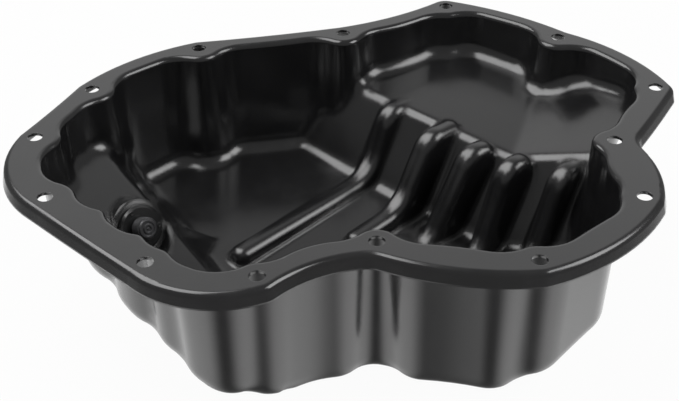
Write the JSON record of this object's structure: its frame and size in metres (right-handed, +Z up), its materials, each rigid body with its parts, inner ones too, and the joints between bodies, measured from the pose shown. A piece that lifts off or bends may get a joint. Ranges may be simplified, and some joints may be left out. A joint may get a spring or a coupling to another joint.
{
  "type": "engine oil pan",
  "caption": "Pressed steel engine oil pan: wide bolted rim, deep sump with fluted walls, raised floor with beads and a side drain plug.",
  "frame": {"origin": "centre of the pan's footprint at its lowest point, so that the level bolting rim is on top", "axes": "+Z up, square to the rim's gasket face; +X to the right and +Y away from the side seen in front, along the longest extent"},
  "size_m": [0.3416, 0.28, 0.09],
  "materials": {
    "black_coat": "gloss black electrocoat",
    "plug_steel": "dark zinc plated",
    "washer_metal": "plain"
  },
  "bodies": {
    "root": {"pan_shell": "black_coat", "drain_nut": "black_coat", "drain_plug": "plug_steel", "drain_gasket": "washer_metal"}
  },
  "joints": []
}
